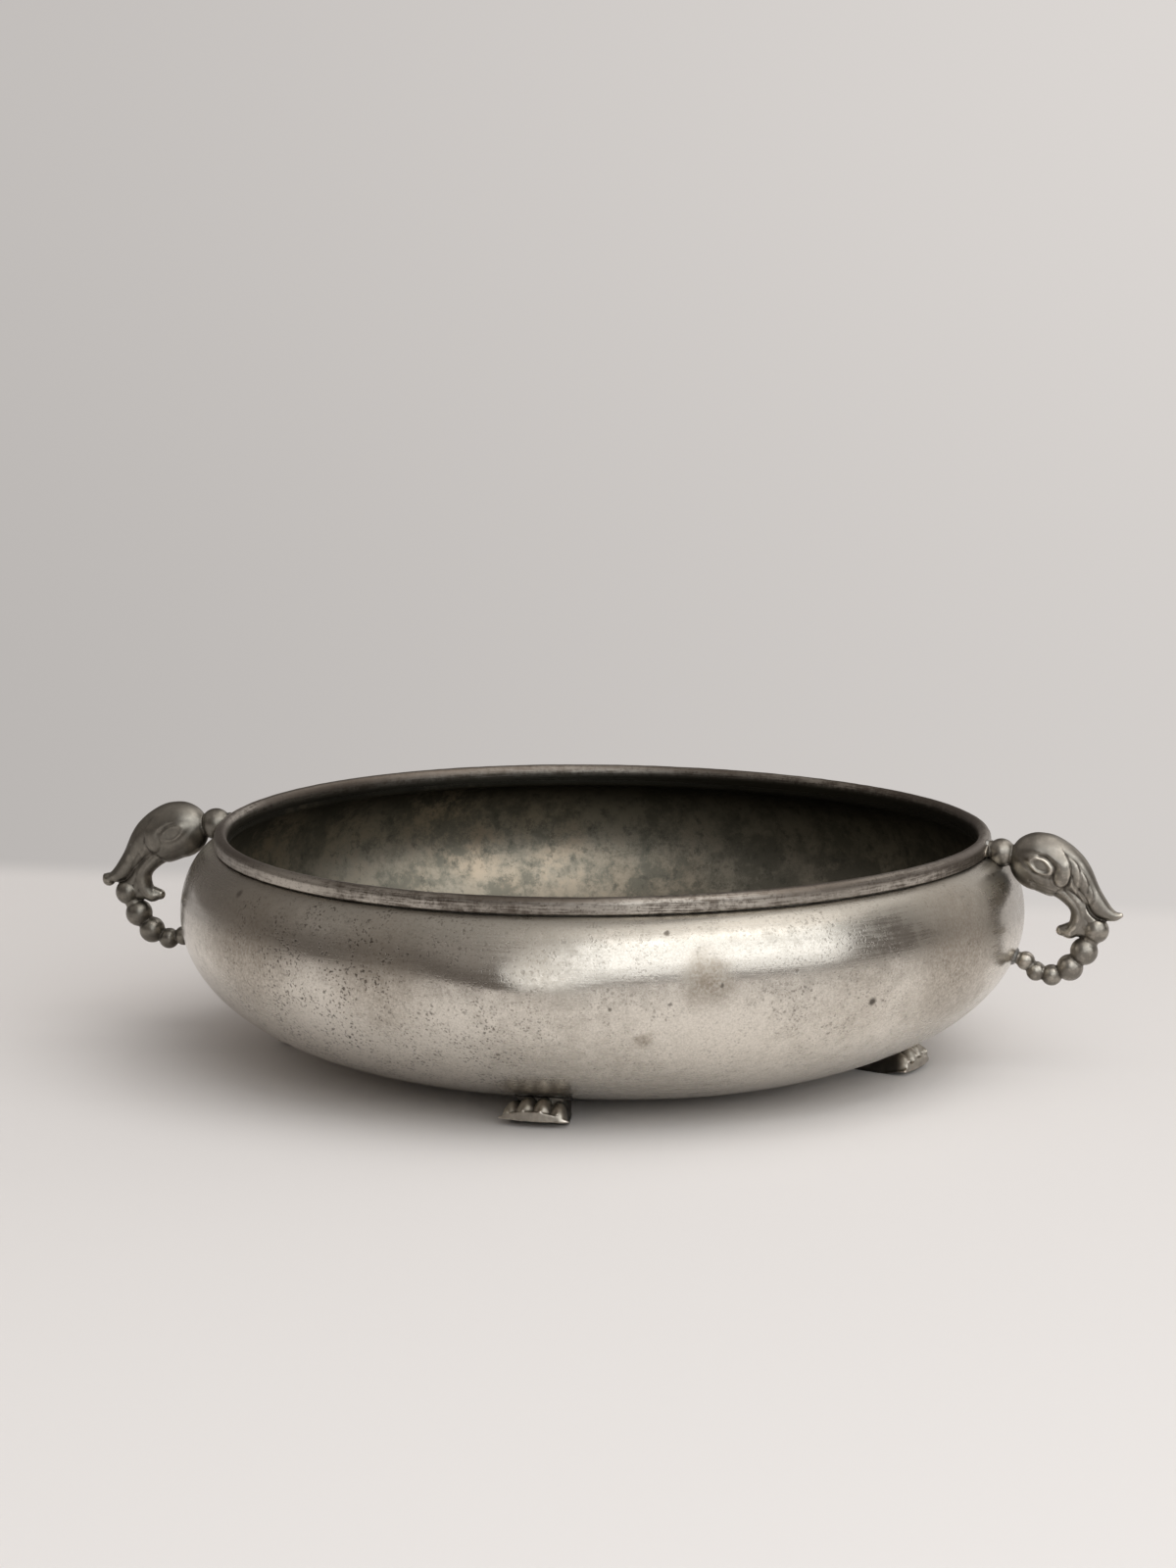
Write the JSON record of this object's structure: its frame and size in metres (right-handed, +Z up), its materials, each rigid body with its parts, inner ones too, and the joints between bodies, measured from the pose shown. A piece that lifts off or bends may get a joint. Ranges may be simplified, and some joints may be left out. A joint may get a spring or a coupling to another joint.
{
  "type": "two-handled footed bowl",
  "caption": "Low round pewter bowl with an applied rim, upright loop handles shaped as a bird's head with a string of beads, and paw feet; stands free and holds fruit or food.",
  "frame": {"origin": "on the table top, under the middle of the bowl", "axes": "+X along the two handles, to the right in the picture; +Z up; -Y towards the viewer"},
  "size_m": [0.291, 0.235, 0.0679],
  "materials": {
    "pewter_bowl": "worn satin pewter with fine turning lines, pits and brown-grey stains",
    "pewter_rim": "darkened pewter, worn bright along the top",
    "pewter_casting": "cast pewter, dark in the hollows and rubbed bright on the high spots",
    "solder": "dull grey solder"
  },
  "bodies": {
    "root": {"bowl_body": "pewter_bowl", "rim_band": "pewter_rim", "handle_right": "pewter_casting", "handle_left": "pewter_casting", "foot_front": "pewter_casting", "foot_right": "pewter_casting", "foot_back": "pewter_casting", "foot_left": "pewter_casting", "rim_solder": "solder", "handle_right_upper_solder": "solder", "handle_right_lower_solder": "solder", "handle_left_upper_solder": "solder", "handle_left_lower_solder": "solder", "foot_front_solder": "solder", "foot_right_solder": "solder", "foot_back_solder": "solder", "foot_left_solder": "solder"}
  },
  "joints": []
}
